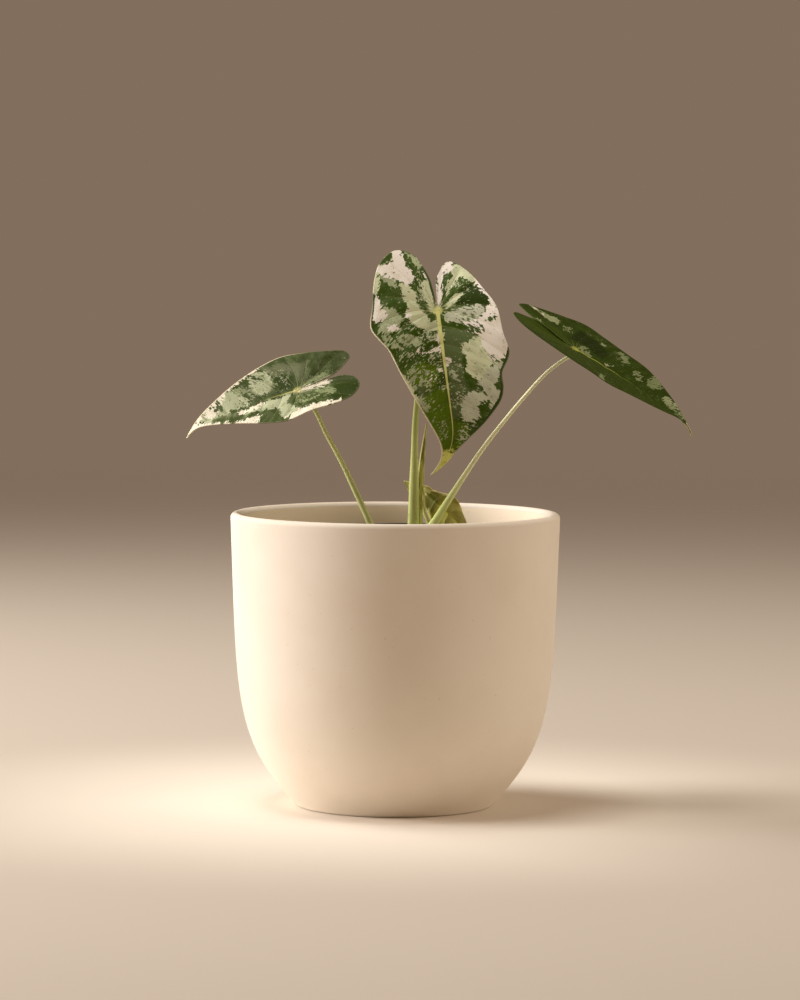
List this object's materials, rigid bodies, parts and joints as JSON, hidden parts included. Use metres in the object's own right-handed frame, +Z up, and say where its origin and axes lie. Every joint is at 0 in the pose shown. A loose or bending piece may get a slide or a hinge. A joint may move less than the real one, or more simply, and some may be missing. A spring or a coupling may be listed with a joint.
{
  "type": "potted frydek alocasia",
  "caption": "Young variegated alocasia with arrow-shaped leaves on slim stalks, growing in a plastic nursery pot stood inside a rounded matt ceramic pot.",
  "frame": {"origin": "centre of the ceramic pot's flat underside, where the plant stands", "axes": "+Z up, +X to the right and -Y towards the viewer when the middle leaf faces forward"},
  "size_m": [0.262, 0.1706, 0.2877],
  "materials": {
    "ceramic_pot": "matte",
    "nursery_pot": "satin",
    "potting_mix": "matte",
    "corm_roots": "matte",
    "petiole_left": "satin",
    "petiole_centre": "satin",
    "petiole_right": "satin",
    "petiole_small": "satin",
    "new_leaf": "satin",
    "blade_left": "satin",
    "blade_centre": "satin",
    "blade_right": "satin",
    "small_leaf": "satin"
  },
  "bodies": {
    "root": {"ceramic_pot": "ceramic_pot", "nursery_pot": "nursery_pot", "potting_mix": "potting_mix", "corm_roots": "corm_roots", "petiole_left": "petiole_left", "petiole_centre": "petiole_centre", "petiole_right": "petiole_right", "petiole_small": "petiole_small", "new_leaf": "new_leaf", "blade_left": "blade_left", "blade_centre": "blade_centre", "blade_right": "blade_right", "small_leaf": "small_leaf"}
  },
  "joints": []
}
